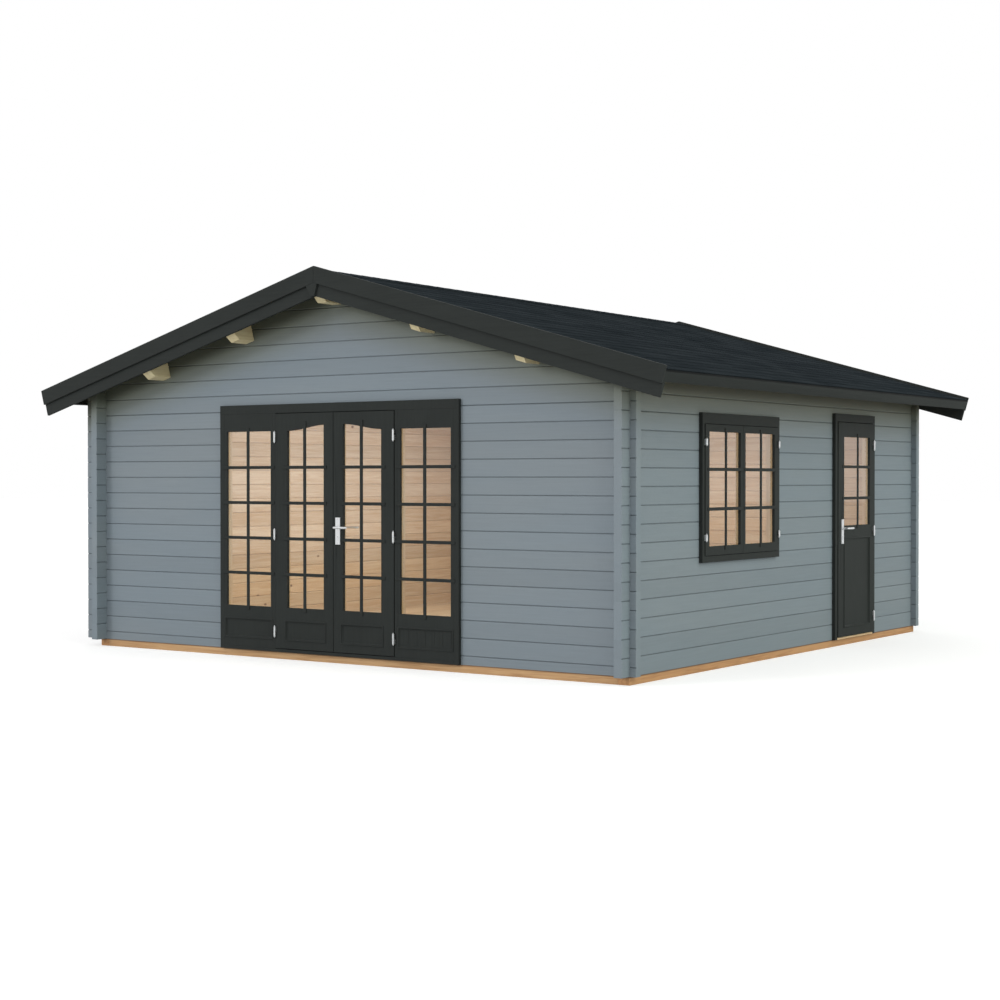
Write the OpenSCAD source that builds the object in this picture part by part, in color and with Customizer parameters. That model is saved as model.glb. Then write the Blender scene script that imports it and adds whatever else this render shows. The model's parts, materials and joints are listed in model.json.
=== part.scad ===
// Garden log cabin: interlocking log walls, low gable roof, glazed double
// doors with side lights in the front, a half-glazed door and a casement
// window in the right-hand side.
// Millimetres, +Z up. The origin is on the ground under the middle of the
// roof. The front faces -Y.

/* [Walls] */
// Outer width of the log walls
wall_w = 5300; // [4200:10:7000]
// Outer depth of the log walls
wall_d = 5300; // [4800:10:7000]
// Height of one log course
log_h = 133; // [110:1:170]
// Thickness of a log
log_t = 66; // [44:1:90]
// Depth of the V-groove between two logs
groove = 6; // [3:1:10]
// Length of the log ends past the front and back walls
cross_front = 110; // [60:5:200]
// Length of the log ends past the left wall
cross_left = 165; // [60:5:200]
// Length of the log ends past the right wall
cross_right = 50; // [40:5:200]

/* [Base] */
// Height of the sill beams under the logs
sill_h = 60; // [40:1:120]
// Width of the sill beams
sill_w = 95; // [85:1:150]
// Thickness of the floor boards
floor_t = 28; // [18:1:40]
// Height of the floor joists
joist_h = 45; // [30:1:60]
// Width of a floor joist
joist_w = 45; // [30:1:80]
// Number of floor joists
joist_count = 8; // [4:1:12]

/* [Roof] */
// Slope of the roof in degrees
roof_pitch = 15.8; // [12:0.1:20]
// Height of the top of the bargeboards at the ridge, above the ground
ridge_h = 3082; // [3000:1:3800]
// How far the roof stands out past each side wall
overhang_side = 442; // [250:1:600]
// How far the roof stands out past the front wall
overhang_front = 280; // [200:1:600]
// How far the roof stands out past the back wall
overhang_back = 251; // [200:1:600]
// Thickness of the roof boards
deck_t = 20; // [16:1:28]
// Thickness of the shingles
cover_t = 8; // [4:1:14]
// Shingles reach this far past the eaves boards
cover_lip = 8; // [2:1:30]
// Bargeboards stand this far above the shingles
board_rise = 20; // [12:1:30]
// Thickness of the bargeboards and eaves boards
board_t = 20; // [16:1:28]
// Height of the upper bargeboards
barge_h = 126; // [110:1:180]
// Height of the lower boards, which sit behind the upper ones
under_h = 108; // [80:1:140]
// Thickness of the lower boards
under_t = 22; // [16:1:28]
// Lower boards lap this far behind the upper ones
under_lap = 11; // [5:1:20]
// Open joint between the left and right boards at the ridge
mitre_gap = 2; // [1:0.5:4]
// Width of the ridge strip on each slope
ridge_strip = 150; // [80:5:250]
// Thickness of the ridge strip
strip_t = 4; // [2:1:8]

/* [Purlins] */
// Width of a purlin
purlin_w = 90; // [60:1:120]
// Height of a purlin
purlin_h = 217; // [150:1:230]
// Slope distance from the ridge to the first side purlin
purlin_first = 1019; // [700:1:1200]
// Slope distance between side purlins
purlin_step = 979; // [700:1:1100]
// Size of the 45 degree splay at the purlin ends
purlin_splay = 65; // [30:1:90]

/* [Joinery] */
// Frames stand this far out of the log face
casing_t = 30; // [20:1:45]
// Frames lap this far over the logs round an opening
casing_lap = 30; // [15:1:35]
// Door leaves and sashes stand this far out of their frames
leaf_proud = 6; // [0:1:12]
// Thickness of a door leaf
leaf_t = 40; // [32:1:48]
// Gap round a door leaf
leaf_gap = 5; // [5:0.5:8]
// Width of the stops behind the leaves
stop_w = 12; // [8:1:20]
// Thickness of the glass
glass_t = 4; // [3:1:8]
// Depth of the glass behind the outer face of its leaf
glass_set = 20; // [10:1:26]
// Depth of the panel recesses
panel_set = 8; // [4:1:10]

/* [Front doors] */
// Centre of the front unit, right of the middle of the wall
front_x = -7; // [-100:1:100]
// Width of the front unit
front_w = 2411; // [2350:1:2600]
// Height of the front unit above the sill beams
front_h = 1981; // [1900:1:2050]
// Height of the head of the front frame
front_head = 71; // [60:1:100]
// Height of the front threshold
front_sill = 25; // [15:1:40]
// Width of the outer jambs
front_jamb = 45; // [40:1:70]
// Distance from the middle of the unit to a hinge axis
front_hinge = 601; // [560:1:650]
// Width of the mullions beside the leaves
mullion_w = 30; // [25:1:50]
// Stile on the meeting side of a front leaf
meeting_stile = 95; // [85:1:120]
// Stile on the hinge side of a front leaf
hinge_stile = 122; // [90:1:140]
// Glass in the side lights starts this far from the hinge axis
light_in = 55; // [45:1:80]
// Glass in the side lights ends this far from the outer edge
light_out = 74; // [65:1:100]
// Bottom of the front glass above the sill beams
glass_low = 357; // [300:1:450]
// Top of the front glass above the sill beams
glass_top = 1767; // [1650:1:1800]
// Rise of the curved glass top in the leaves
arch_rise = 43; // [20:1:60]
// Bottom of the kick panels above the sill beams
kick_low = 97; // [80:1:140]
// Top of the kick panels above the sill beams
kick_top = 255; // [220:1:280]
// Kick panels are this much wider than the glass on each side
kick_extra = 20; // [10:1:20]

/* [Side door] */
// Centre of the side door behind the front wall face
sdoor_y = 3856; // [3700:1:3950]
// Width of the side door unit
sdoor_w = 858; // [800:1:1000]
// Height of the side door unit above the sill beams
sdoor_h = 1945; // [1850:1:2050]
// Height of the head of the side frame
sdoor_head = 68; // [50:1:90]
// Height of the side threshold
sdoor_sill = 15; // [10:1:30]
// Width of the side jambs
sdoor_jamb = 46; // [40:1:70]
// Stile on the lock side of the side door
lock_stile = 121; // [100:1:140]
// Stile on the hinge side of the side door
far_stile = 76; // [65:1:120]
// Bottom of the side door glass
sglass_low = 980; // [900:1:1100]
// Top of the side door glass
sglass_top = 1747; // [1650:1:1780]
// Bottom of the lower panel
spanel_low = 97; // [80:1:140]
// Top of the lower panel
spanel_top = 873; // [800:1:880]

/* [Window] */
// Centre of the window behind the front wall face
win_y = 1672; // [1400:1:1800]
// Width of the window unit
win_w = 1310; // [1200:1:1400]
// Height of the window unit
win_h = 1122; // [1000:1:1150]
// Bottom of the window unit above the sill beams
win_z = 758; // [700:1:800]
// Width of the sides of the window frame
win_frame = 35; // [34:1:50]
// Height of the head of the window frame
win_head = 82; // [60:1:100]
// Height of the bottom member of the window frame
win_base = 48; // [35:1:70]
// Gap round the fixed sashes
sash_gap = 3; // [1:0.5:5]
// Width of the meeting stiles of the sashes
sash_mid = 41; // [34:1:60]
// Width of the outer stiles of the sashes
sash_side = 62; // [50:1:80]
// Width of the top rails of the sashes
sash_top = 55; // [40:1:80]
// Width of the bottom rails of the sashes
sash_low = 69; // [50:1:90]

/* [Hardware] */
// Diameter of a hinge barrel
barrel_d = 17; // [12:1:22]
// Length of a door hinge barrel
barrel_h = 80; // [60:1:100]
// Length of a window hinge barrel
win_barrel_h = 46; // [30:1:60]
// Middle of the lowest door hinges above the sill beams
hinge_low = 163; // [120:1:250]
// Middle of the highest door hinges below the top of their frame
hinge_drop = 262; // [200:1:350]
// Middle of the lower window hinges above the bottom of the window unit
win_hinge_low = 186; // [120:1:300]
// Middle of the upper window hinges below the top of the window unit
win_hinge_drop = 220; // [150:1:300]
// Width of a handle plate
plate_w = 46; // [34:1:60]
// Height of a handle plate
plate_h = 210; // [160:1:250]
// Thickness of a handle plate
plate_t = 8; // [4:1:12]
// Centre of the front plate, right of the meeting line
plate_x = 52; // [40:1:70]
// Centre of the side plate, in from the edge of the leaf
splate_x = 74; // [50:1:100]
// Bottom of the front plate above the sill beams
plate_z = 873; // [800:1:950]
// Bottom of the side plate above the sill beams
splate_z = 825; // [760:1:900]
// Height of the lever above the bottom of its plate
lever_up = 132; // [100:1:150]
// Length of the lever from its axis
lever_len = 130; // [100:1:150]
// Diameter of the lever grip
lever_d = 18; // [14:1:22]
// Diameter of the lever neck
neck_d = 16; // [12:1:20]
// Distance from the plate to the middle of the lever grip
lever_off = 46; // [35:1:60]

/* [Hidden] */
$fn = 48;

// cut pieces run this far past what they cut
over = 5;
// a moving hardware piece clears its seat by this much
fit = 0.3;
// the bore for the lever neck in a leaf is this much wider than the neck
bore_extra = 2.4;
// hinge barrels stand this far off the leaf, and their necks this far inside
barrel_off = 1;
// flats on the curved glass top of a front leaf
arch_steps = 16;

// plan
roof_len = overhang_front + wall_d + overhang_back;
front_y = overhang_front - roof_len / 2;
back_y = front_y + wall_d;
half_w = wall_w / 2;
deck_y0 = -roof_len / 2 + board_t;
deck_y1 = roof_len / 2 - board_t;
purlin_y0 = deck_y0 + under_t;
purlin_y1 = deck_y1 - under_t;

// roof: u runs down the slope, n runs square to it, below the board tops
cp = cos(roof_pitch);
tp = tan(roof_pitch);
roof_half = half_w + overhang_side;
u_tip = roof_half / cp;
n_cover = board_rise;
n_deck = n_cover + cover_t;
n_under = n_deck + deck_t;
n_lower = barge_h - under_lap;
n_purlin = n_under + purlin_h;
eaves_u = u_tip - board_t;

// joinery
hinge_out = barrel_d / 2 + barrel_off;
open_w = front_w - 2 * casing_lap;
open_h = front_h - casing_lap;
sopen_w = sdoor_w - 2 * casing_lap;
sopen_h = sdoor_h - casing_lap;
leaf_back = leaf_t - casing_t - leaf_proud;
stop_y = leaf_back + leaf_gap;
leaf_w = front_hinge - leaf_gap;
leaf_z0 = front_sill + leaf_gap;
leaf_h = front_h - front_head - leaf_gap - leaf_z0;
sleaf_w = sdoor_w - 2 * sdoor_jamb - 2 * leaf_gap;
sleaf_z0 = sdoor_sill + leaf_gap;
sleaf_h = sdoor_h - sdoor_head - leaf_gap - sleaf_z0;
mull_in = front_hinge + leaf_gap / 2;
light_x0 = mull_in + mullion_w;
light_x1 = front_w / 2 - front_jamb;
lglass_x0 = front_hinge + light_in;
lglass_x1 = front_w / 2 - light_out;
rebate_w = win_w - 2 * win_frame;
rebate_h = win_h - win_head - win_base;
sash_w = (rebate_w - 3 * sash_gap) / 2;
sash_h = rebate_h - 2 * sash_gap;
sash_t = casing_t + leaf_proud + stop_y;
axis_y = -casing_t - leaf_proud - hinge_out;

// courses of the front and back walls start with half a log
x_joints = [for (k = [0 : floor(ridge_h / log_h)]) log_h * (k + 0.5)];
y_joints = [for (k = [1 : floor(ridge_h / log_h)]) log_h * k];
front_split = log_h * (floor(open_h / log_h - 0.5) + 0.5);
side_split = log_h * floor(sopen_h / log_h);

paint = [0.49, 0.53, 0.55];
charcoal = [0.21, 0.22, 0.22];
pine = [0.80, 0.64, 0.44];
felt = [0.16, 0.18, 0.20];
pane = [0.75, 0.85, 0.88, 0.4];
metal = [0.83, 0.84, 0.85];

function under_z(x) = ridge_h - abs(x) * tp - n_under / cp;
function flip(list) = [for (i = [len(list) - 1 : -1 : 0]) list[i]];
function grooves(face, into, zs) =
  [for (z = zs) each [[face, z - groove], [face + into, z], [face, z + groove]]];
// three hinges on a door in a frame of height h
function hinge_heights(h) = [hinge_low, (hinge_low + h - hinge_drop) / 2, h - hinge_drop];
function below(zs, top) = [for (z = zs) if (z < top - groove) z];

// ---- placing ----

// front units: x across, outward is -y, z up from the sill beams
module on_front(x = front_x) translate([x, front_y, sill_h]) children();

// the same for units in the right wall, with x running to the back
module on_right(y) {
  translate([half_w, front_y + y, sill_h]) rotate([0, 0, 90]) children();
}

module both_sides() {
  children();
  mirror([1, 0, 0]) children();
}

// the right slope: x runs down the slope from the ridge, z square to it, with
// z = 0 on the plane of the board tops
module on_slope() translate([0, 0, ridge_h]) rotate([0, roof_pitch, 0]) children();

// the space over the underside of the roof boards, between two y places
module above_walls(y0, y1) {
  both_sides() on_slope() translate([-u_tip, y0, -n_under])
    cube([2 * u_tip, y1 - y0, ridge_h]);
}

// ---- log walls ----

// outline of a log wall across its thickness, grooved on both faces
module log_section(zs, top) {
  polygon(concat([[0, 0]], grooves(0, groove, zs), [[0, top], [log_t, top]],
                 flip(grooves(log_t, -groove, zs)), [[log_t, 0]]));
}

// bands of the corner crossings that the other wall's logs fill: each log is
// notched a quarter of its height deep, so they start at phase log heights
module crossing_bands(size, phase, count) {
  for (k = [0 : count]) {
    z0 = log_h * (k + phase);
    translate([0, 0, max(z0, -over)])
      cube([size[0], size[1], z0 + log_h / 2 - max(z0, -over)]);
  }
}

// a wall that runs across, with its outer face at y = 0 of its own frame
module cross_wall() {
  top = ridge_h - sill_h;
  x0 = -half_w - cross_left;
  x1 = half_w + cross_right;
  courses = floor(under_z(half_w) / log_h);
  difference() {
    translate([x0, 0, 0]) rotate([90, 0, 90])
      linear_extrude(x1 - x0) log_section(below(x_joints, top), top);
    translate([0, 0, -sill_h]) above_walls(-over, log_t + over);
    for (x = [-half_w, half_w - log_t])
      translate([x, -over, 0])
        crossing_bands([log_t, log_t + 2 * over], 0.25, courses);
    translate([0, 0, -sill_h]) purlin_holes();
  }
}

module purlin_holes() {
  z = ridge_h - n_purlin / cp;
  translate([-purlin_w / 2, -over, z])
    cube([purlin_w, log_t + 2 * over, ridge_h - z]);
  both_sides()
    for (u = [purlin_first, purlin_first + purlin_step])
      on_slope() translate([u - purlin_w / 2, -over, -n_purlin])
        cube([purlin_w, log_t + 2 * over, n_purlin]);
}

// a wall that runs to the back, outer face at x = half_w
module side_wall() {
  y0 = front_y - cross_front;
  y1 = back_y + cross_front;
  zs = below(y_joints, under_z(half_w) - sill_h);
  courses = floor(under_z(half_w) / log_h);
  translate([0, 0, sill_h]) difference() {
    translate([half_w, y1, 0]) rotate([90, 0, 0]) linear_extrude(y1 - y0)
      mirror([1, 0]) log_section(zs, under_z(half_w - log_t) - sill_h + over);
    translate([0, 0, -sill_h]) above_walls(y0 - over, y1 + over);
    for (y = [front_y, back_y - log_t])
      translate([half_w - log_t - over, y, 0])
        crossing_bands([log_t + 2 * over, log_t], -0.25, courses + 1);
  }
}

// keeps what lies between two x places and two heights of the front wall
module front_part(x0, x1, z0, z1) {
  color(paint) translate([0, front_y, sill_h]) intersection() {
    cross_wall();
    translate([x0, -over, z0]) cube([x1 - x0, log_t + 2 * over, z1 - z0]);
  }
}

module front_wall_left() {
  front_part(-half_w - cross_left, front_x - open_w / 2, 0, front_split);
}

module front_wall_right() {
  front_part(front_x + open_w / 2, half_w + cross_right, 0, front_split);
}

module front_gable() {
  difference() {
    front_part(-half_w - cross_left, half_w + cross_right, front_split, ridge_h);
    on_front() translate([-open_w / 2, -over, 0])
      cube([open_w, log_t + 2 * over, open_h]);
  }
}

module back_wall() {
  color(paint) translate([0, back_y, sill_h]) mirror([0, 1, 0]) cross_wall();
}

module left_wall() {
  color(paint) mirror([1, 0, 0]) side_wall();
}

// keeps what lies between two y places, behind the front face, and heights
module right_part(y0, y1, z0, z1) {
  color(paint) intersection() {
    side_wall();
    translate([half_w - log_t - over, front_y + y0, sill_h + z0])
      cube([log_t + 2 * over, y1 - y0, z1 - z0]);
  }
}

module right_wall_front() {
  difference() {
    right_part(-cross_front, sdoor_y - sopen_w / 2, 0, side_split);
    window_hole();
  }
}

module right_wall_back() {
  right_part(sdoor_y + sopen_w / 2, wall_d + cross_front, 0, side_split);
}

module right_wall_top() {
  difference() {
    right_part(-cross_front, wall_d + cross_front, side_split, ridge_h);
    window_hole();
    on_right(sdoor_y) translate([-sopen_w / 2, -over, 0])
      cube([sopen_w, log_t + 2 * over, sopen_h]);
  }
}

module window_hole() {
  on_right(win_y) translate([casing_lap - win_w / 2, -over, win_z + casing_lap])
    cube([win_w - 2 * casing_lap, log_t + 2 * over, win_h - 2 * casing_lap]);
}

// ---- base and floor ----

module sill_beams_sides() {
  color(pine) both_sides() translate([half_w - sill_w, front_y, 0])
    cube([sill_w, wall_d, sill_h]);
}

module sill_beams_ends() {
  color(pine) for (y = [front_y, back_y - sill_w])
    translate([sill_w - half_w, y, 0]) cube([wall_w - 2 * sill_w, sill_w, sill_h]);
}

module floor_joists() {
  inner = wall_w - 2 * sill_w;
  pitch = inner / (joist_count + 1);
  color(pine) for (i = [1 : joist_count])
    translate([i * pitch - inner / 2 - joist_w / 2, front_y + sill_w, sill_h - joist_h])
      cube([joist_w, wall_d - 2 * sill_w, joist_h]);
}

module floor() {
  color(pine) translate([log_t - half_w, front_y + log_t, sill_h])
    cube([wall_w - 2 * log_t, wall_d - 2 * log_t, floor_t]);
}

// ---- roof ----

// a board or sheet on the right slope, cut upright at x0
module slope_sheet(n0, n1, u1, y0, y1, x0 = 0) {
  intersection() {
    on_slope() translate([0, y0, -n1]) cube([u1, y1 - y0, n1 - n0]);
    translate([x0, y0 - over, 0]) cube([2 * u1, y1 - y0 + 2 * over, 2 * ridge_h]);
  }
}

module roof_deck_right() {
  color(pine) slope_sheet(n_deck, n_under, eaves_u, deck_y0, deck_y1);
}

module roof_deck_left() {
  mirror([1, 0, 0]) roof_deck_right();
}

module roof_shingles_right() {
  color(felt) slope_sheet(n_cover, n_deck, u_tip + cover_lip, deck_y0, deck_y1);
}

module roof_shingles_left() {
  mirror([1, 0, 0]) roof_shingles_right();
}

module ridge_strip_cap() {
  color(felt) both_sides()
    slope_sheet(n_cover - strip_t, n_cover, ridge_strip, deck_y0, deck_y1);
}

module bargeboard_pair(y0, y1, n0, n1) {
  color(charcoal) both_sides()
    slope_sheet(n0, n1, u_tip, y0, y1, mitre_gap / 2);
}

module front_bargeboards() {
  bargeboard_pair(-roof_len / 2, deck_y0, 0, barge_h);
}

module back_bargeboards() {
  bargeboard_pair(deck_y1, roof_len / 2, 0, barge_h);
}

module lower_bargeboards() {
  bargeboard_pair(deck_y0, purlin_y0, n_lower, n_lower + under_h);
  bargeboard_pair(purlin_y1, deck_y1, n_lower, n_lower + under_h);
}

module eaves_boards() {
  color(charcoal) both_sides() on_slope()
    translate([eaves_u, deck_y0, -n_lower])
      cube([u_tip - eaves_u, deck_y1 - deck_y0, n_lower - n_deck]);
}

// side view of a purlin with splayed ends, z measured from the board tops
module purlin_side(low, high) {
  polygon([[purlin_y0, high], [purlin_y0, low + purlin_splay],
           [purlin_y0 + purlin_splay, low], [purlin_y1 - purlin_splay, low],
           [purlin_y1, low + purlin_splay], [purlin_y1, high]]);
}

module ridge_purlin() {
  low = ridge_h - n_purlin / cp;
  half = purlin_w / 2;
  color(pine) difference() {
    translate([-half, 0, 0]) rotate([90, 0, 90]) linear_extrude(purlin_w)
      purlin_side(low, ridge_h);
    above_walls(purlin_y0 - over, purlin_y1 + over);
  }
}

module side_purlins() {
  color(pine) both_sides()
    for (u = [purlin_first, purlin_first + purlin_step])
      on_slope() translate([u - purlin_w / 2, 0, 0]) rotate([90, 0, 90])
        linear_extrude(purlin_w) purlin_side(-n_purlin, -n_under);
}

// ---- door and window frames ----

// one upright on the right of its unit: casing outside, lining in the wall,
// stop behind the leaf
module jamb(w, jamb_w, z0, z1) {
  inner = w / 2 - jamb_w;
  translate([inner, -casing_t, z0]) cube([jamb_w, casing_t, z1 - z0]);
  translate([inner, -over, z0])
    cube([jamb_w - casing_lap, log_t + over, z1 - z0]);
}

module stop_strip(x, z0, z1) {
  translate([x - stop_w, stop_y, z0]) cube([stop_w, log_t - stop_y, z1 - z0]);
}

module head(w, h, head_h, clear_w) {
  translate([-w / 2, -casing_t, h - head_h]) cube([w, casing_t, head_h]);
  translate([casing_lap - w / 2, -over, h - head_h])
    cube([w - 2 * casing_lap, log_t + over, head_h - casing_lap]);
  translate([-clear_w / 2, stop_y, h - head_h - stop_w])
    cube([clear_w, log_t - stop_y, stop_w]);
}

// board with a stop along its back edge
module threshold(w, h, clear_w) {
  translate([-w / 2, -casing_t, 0]) cube([w, casing_t + log_t, h]);
  translate([-clear_w / 2, stop_y, h]) cube([clear_w, log_t - stop_y, stop_w]);
}

module front_door_posts() {
  color(charcoal) on_front() both_sides() {
    jamb(front_w, front_jamb, 0, front_h - front_head);
    translate([mull_in, -casing_t, front_sill])
      cube([mullion_w, casing_t + log_t, front_h - front_head - front_sill]);
    stop_strip(mull_in, front_sill, front_h - front_head);
  }
}

module front_door_head() {
  color(charcoal) on_front()
    head(front_w, front_h, front_head, 2 * (mull_in - stop_w));
}

module thresholds() {
  color(charcoal) on_front()
    threshold(front_w - 2 * front_jamb, front_sill, 2 * (mull_in - stop_w));
  color(pine) on_right(sdoor_y)
    threshold(sdoor_w - 2 * sdoor_jamb, sdoor_sill,
              sdoor_w - 2 * sdoor_jamb - 2 * stop_w);
}

module side_door_jambs() {
  color(charcoal) on_right(sdoor_y) both_sides() {
    jamb(sdoor_w, sdoor_jamb, 0, sdoor_h - sdoor_head);
    stop_strip(sdoor_w / 2 - sdoor_jamb, sdoor_sill, sdoor_h - sdoor_head);
  }
}

module side_door_head() {
  color(charcoal) on_right(sdoor_y)
    head(sdoor_w, sdoor_h, sdoor_head, sdoor_w - 2 * sdoor_jamb - 2 * stop_w);
}

// ---- leaves and lights, outer face at y = 0 of their own frame ----

// sunk panels on both faces
module recess(x0, x1, z0, z1) {
  for (y = [-over, leaf_t - panel_set])
    translate([x0, y, z0]) cube([x1 - x0, panel_set + over, z1 - z0]);
}

module side_light() {
  z1 = front_h - front_head;
  translate([0, -casing_t, 0]) difference() {
    translate([light_x0, 0, front_sill])
      cube([light_x1 - light_x0, leaf_t, z1 - front_sill]);
    translate([lglass_x0, -over, glass_low])
      cube([lglass_x1 - lglass_x0, leaf_t + 2 * over, glass_top - glass_low]);
    recess(lglass_x0 - kick_extra, lglass_x1 + kick_extra, kick_low, kick_top);
  }
}

module side_lights() {
  color(charcoal) on_front() both_sides() side_light();
}

// glass outline of the right leaf: its top curves up to the meeting stile
module arched_light() {
  x0 = meeting_stile;
  x1 = leaf_w - hinge_stile;
  polygon(concat(
    [[x0, glass_low], [x1, glass_low]],
    [for (i = [0 : arch_steps])
      [x1 + (x0 - x1) * i / arch_steps,
       glass_top + arch_rise * (1 - cos(180 * i / arch_steps)) / 2]]));
}

module stand(y0, y1) {
  translate([0, y1, 0]) rotate([90, 0, 0]) linear_extrude(y1 - y0) children();
}

// the right leaf, with x from its meeting edge
module leaf_body() {
  difference() {
    translate([0, 0, leaf_z0]) cube([leaf_w, leaf_t, leaf_h]);
    stand(-over, leaf_t + over) arched_light();
    recess(meeting_stile - kick_extra, leaf_w - hinge_stile + kick_extra,
           kick_low, kick_top);
  }
}

module at_leaf() {
  on_front() translate([leaf_gap / 2, -casing_t - leaf_proud, 0]) children();
}

module at_left_leaf() {
  on_front() mirror([1, 0, 0])
    translate([leaf_gap / 2, -casing_t - leaf_proud, 0]) children();
}

module front_leaf_right() {
  color(charcoal) at_leaf() difference() {
    leaf_body();
    lever_bore(plate_x - leaf_gap / 2, plate_z, neck_d + bore_extra);
  }
}

module front_leaf_left() {
  color(charcoal) at_left_leaf() leaf_body();
}

module front_leaf_glass_right() {
  color(pane) at_leaf() stand(glass_set, glass_set + glass_t) arched_light();
}

module front_leaf_glass_left() {
  color(pane) at_left_leaf() stand(glass_set, glass_set + glass_t) arched_light();
}

// the side leaf has its lock edge at x = 0
module at_side_leaf() {
  on_right(sdoor_y)
    translate([sdoor_jamb + leaf_gap - sdoor_w / 2, -casing_t - leaf_proud, 0])
      children();
}

module side_light_hole(y0, y1) {
  translate([lock_stile, y0, sglass_low])
    cube([sleaf_w - lock_stile - far_stile, y1 - y0, sglass_top - sglass_low]);
}

module side_leaf() {
  color(charcoal) at_side_leaf() difference() {
    translate([0, 0, sleaf_z0]) cube([sleaf_w, leaf_t, sleaf_h]);
    side_light_hole(-over, leaf_t + over);
    recess(lock_stile, sleaf_w - far_stile, spanel_low, spanel_top);
    lever_bore(splate_x, splate_z, neck_d + bore_extra);
  }
}

module side_leaf_glass() {
  color(pane) at_side_leaf() side_light_hole(glass_set, glass_set + glass_t);
}

// ---- window ----

module window_frame() {
  color(charcoal) on_right(win_y) translate([0, 0, win_z]) difference() {
    union() {
      translate([-win_w / 2, -casing_t, 0]) cube([win_w, casing_t, win_h]);
      translate([casing_lap - win_w / 2, -over, casing_lap])
        cube([win_w - 2 * casing_lap, log_t + over, win_h - 2 * casing_lap]);
    }
    translate([-rebate_w / 2, -casing_t - over, win_base])
      cube([rebate_w, casing_t + over + stop_y, rebate_h]);
    translate([stop_w - rebate_w / 2, 0, win_base + stop_w])
      cube([rebate_w - 2 * stop_w, log_t + over, rebate_h - 2 * stop_w]);
  }
}

// the right-hand sash stands half a gap right of the middle
module at_sash() {
  on_right(win_y)
    translate([sash_gap / 2, -casing_t - leaf_proud, win_z + win_base + sash_gap])
      children();
}

module at_left_sash() {
  on_right(win_y) mirror([1, 0, 0])
    translate([sash_gap / 2, -casing_t - leaf_proud, win_z + win_base + sash_gap])
      children();
}

module sash_hole(y0, y1) {
  translate([sash_mid, y0, sash_low])
    cube([sash_w - sash_mid - sash_side, y1 - y0, sash_h - sash_low - sash_top]);
}

// the sash closes against the stop of the frame
module sash() {
  difference() {
    cube([sash_w, sash_t, sash_h]);
    sash_hole(-over, sash_t + over);
  }
}

module window_sashes() {
  color(charcoal) {
    at_sash() sash();
    at_left_sash() sash();
  }
}

module fixed_glass() {
  color(pane) {
    on_front() both_sides() translate([lglass_x0, glass_set - casing_t, glass_low])
      cube([lglass_x1 - lglass_x0, glass_t, glass_top - glass_low]);
    at_sash() sash_hole(glass_set, glass_set + glass_t);
    at_left_sash() sash_hole(glass_set, glass_set + glass_t);
  }
}

// ---- hinges: upper halves turn with the leaf, lower halves stay ----

// a half barrel at the origin with its neck running back to the wood on the
// side given by dir: 1 is the leaf of a right-hinged door, -1 its frame
module hinge_half(z0, z1, dir, reach) {
  edge = leaf_gap / 2;
  rim = barrel_d / 2 - barrel_off;
  translate([0, 0, z0]) cylinder(d = barrel_d, h = z1 - z0);
  translate([min(edge * dir, rim * dir), 0, z0]) cube([rim - edge, reach, z1 - z0]);
}

// halves round an axis at the right edge of a leaf, with x to the frame
module upper_halves(h) {
  for (z = hinge_heights(h))
    hinge_half(z + fit / 2, z + barrel_h / 2, -1, hinge_out);
}

module lower_halves(h) {
  for (z = hinge_heights(h))
    hinge_half(z - barrel_h / 2, z - fit / 2, 1, hinge_out + leaf_proud);
}

module at_front_axis() {
  on_front() translate([front_hinge, axis_y, 0]) children();
}

module at_left_axis() {
  on_front() mirror([1, 0, 0]) translate([front_hinge, axis_y, 0]) children();
}

module at_side_axis() {
  on_right(sdoor_y)
    translate([sdoor_w / 2 - sdoor_jamb - leaf_gap / 2, axis_y, 0]) children();
}

module window_barrels() {
  edge = sash_gap / 2;
  both_sides() for (z = [win_hinge_low, win_h - win_hinge_drop])
    translate([win_w / 2 - win_frame - edge, axis_y, win_z + z - win_barrel_h / 2]) {
      cylinder(d = barrel_d, h = win_barrel_h);
      translate([edge, 0, 0])
        cube([barrel_d / 2 - edge, hinge_out + leaf_proud, win_barrel_h]);
    }
}

module frame_hinge_halves() {
  color(metal) {
    at_front_axis() lower_halves(front_h);
    at_left_axis() lower_halves(front_h);
    at_side_axis() lower_halves(sdoor_h);
    on_right(win_y) window_barrels();
  }
}

module right_leaf_hinge_halves() {
  color(metal) at_front_axis() upper_halves(front_h);
}

module left_leaf_hinge_halves() {
  color(metal) at_left_axis() upper_halves(front_h);
}

module side_leaf_hinge_halves() {
  color(metal) at_side_axis() upper_halves(sdoor_h);
}

// ---- handles ----

module lever_bore(x, z, d) {
  past = plate_t + over;
  translate([x, -past, z + lever_up]) rotate([-90, 0, 0])
    cylinder(d = d, h = leaf_t + 2 * past);
}

module plates(x, z) {
  color(metal) difference() {
    for (y = [-plate_t, leaf_t])
      translate([x - plate_w / 2, y, z]) cube([plate_w, plate_t, plate_h]);
    lever_bore(x, z, neck_d + 2 * fit);
  }
}

// both grips on one neck through the leaf, pointing to the hinge side
module lever(x, z) {
  reach = plate_t + lever_off;
  color(metal) translate([x, 0, z + lever_up]) {
    translate([0, -reach, 0]) rotate([-90, 0, 0])
      cylinder(d = neck_d, h = leaf_t + 2 * reach);
    for (y = [-reach, leaf_t + reach]) translate([0, y, 0]) {
      sphere(d = lever_d);
      rotate([0, 90, 0]) cylinder(d = lever_d, h = lever_len - lever_d / 2);
      translate([lever_len - lever_d / 2, 0, 0]) sphere(d = lever_d);
    }
  }
}

module front_handle_plates() {
  at_leaf() plates(plate_x - leaf_gap / 2, plate_z);
}

module front_lever() {
  at_leaf() lever(plate_x - leaf_gap / 2, plate_z);
}

module side_handle_plates() {
  at_side_leaf() plates(splate_x, splate_z);
}

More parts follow.
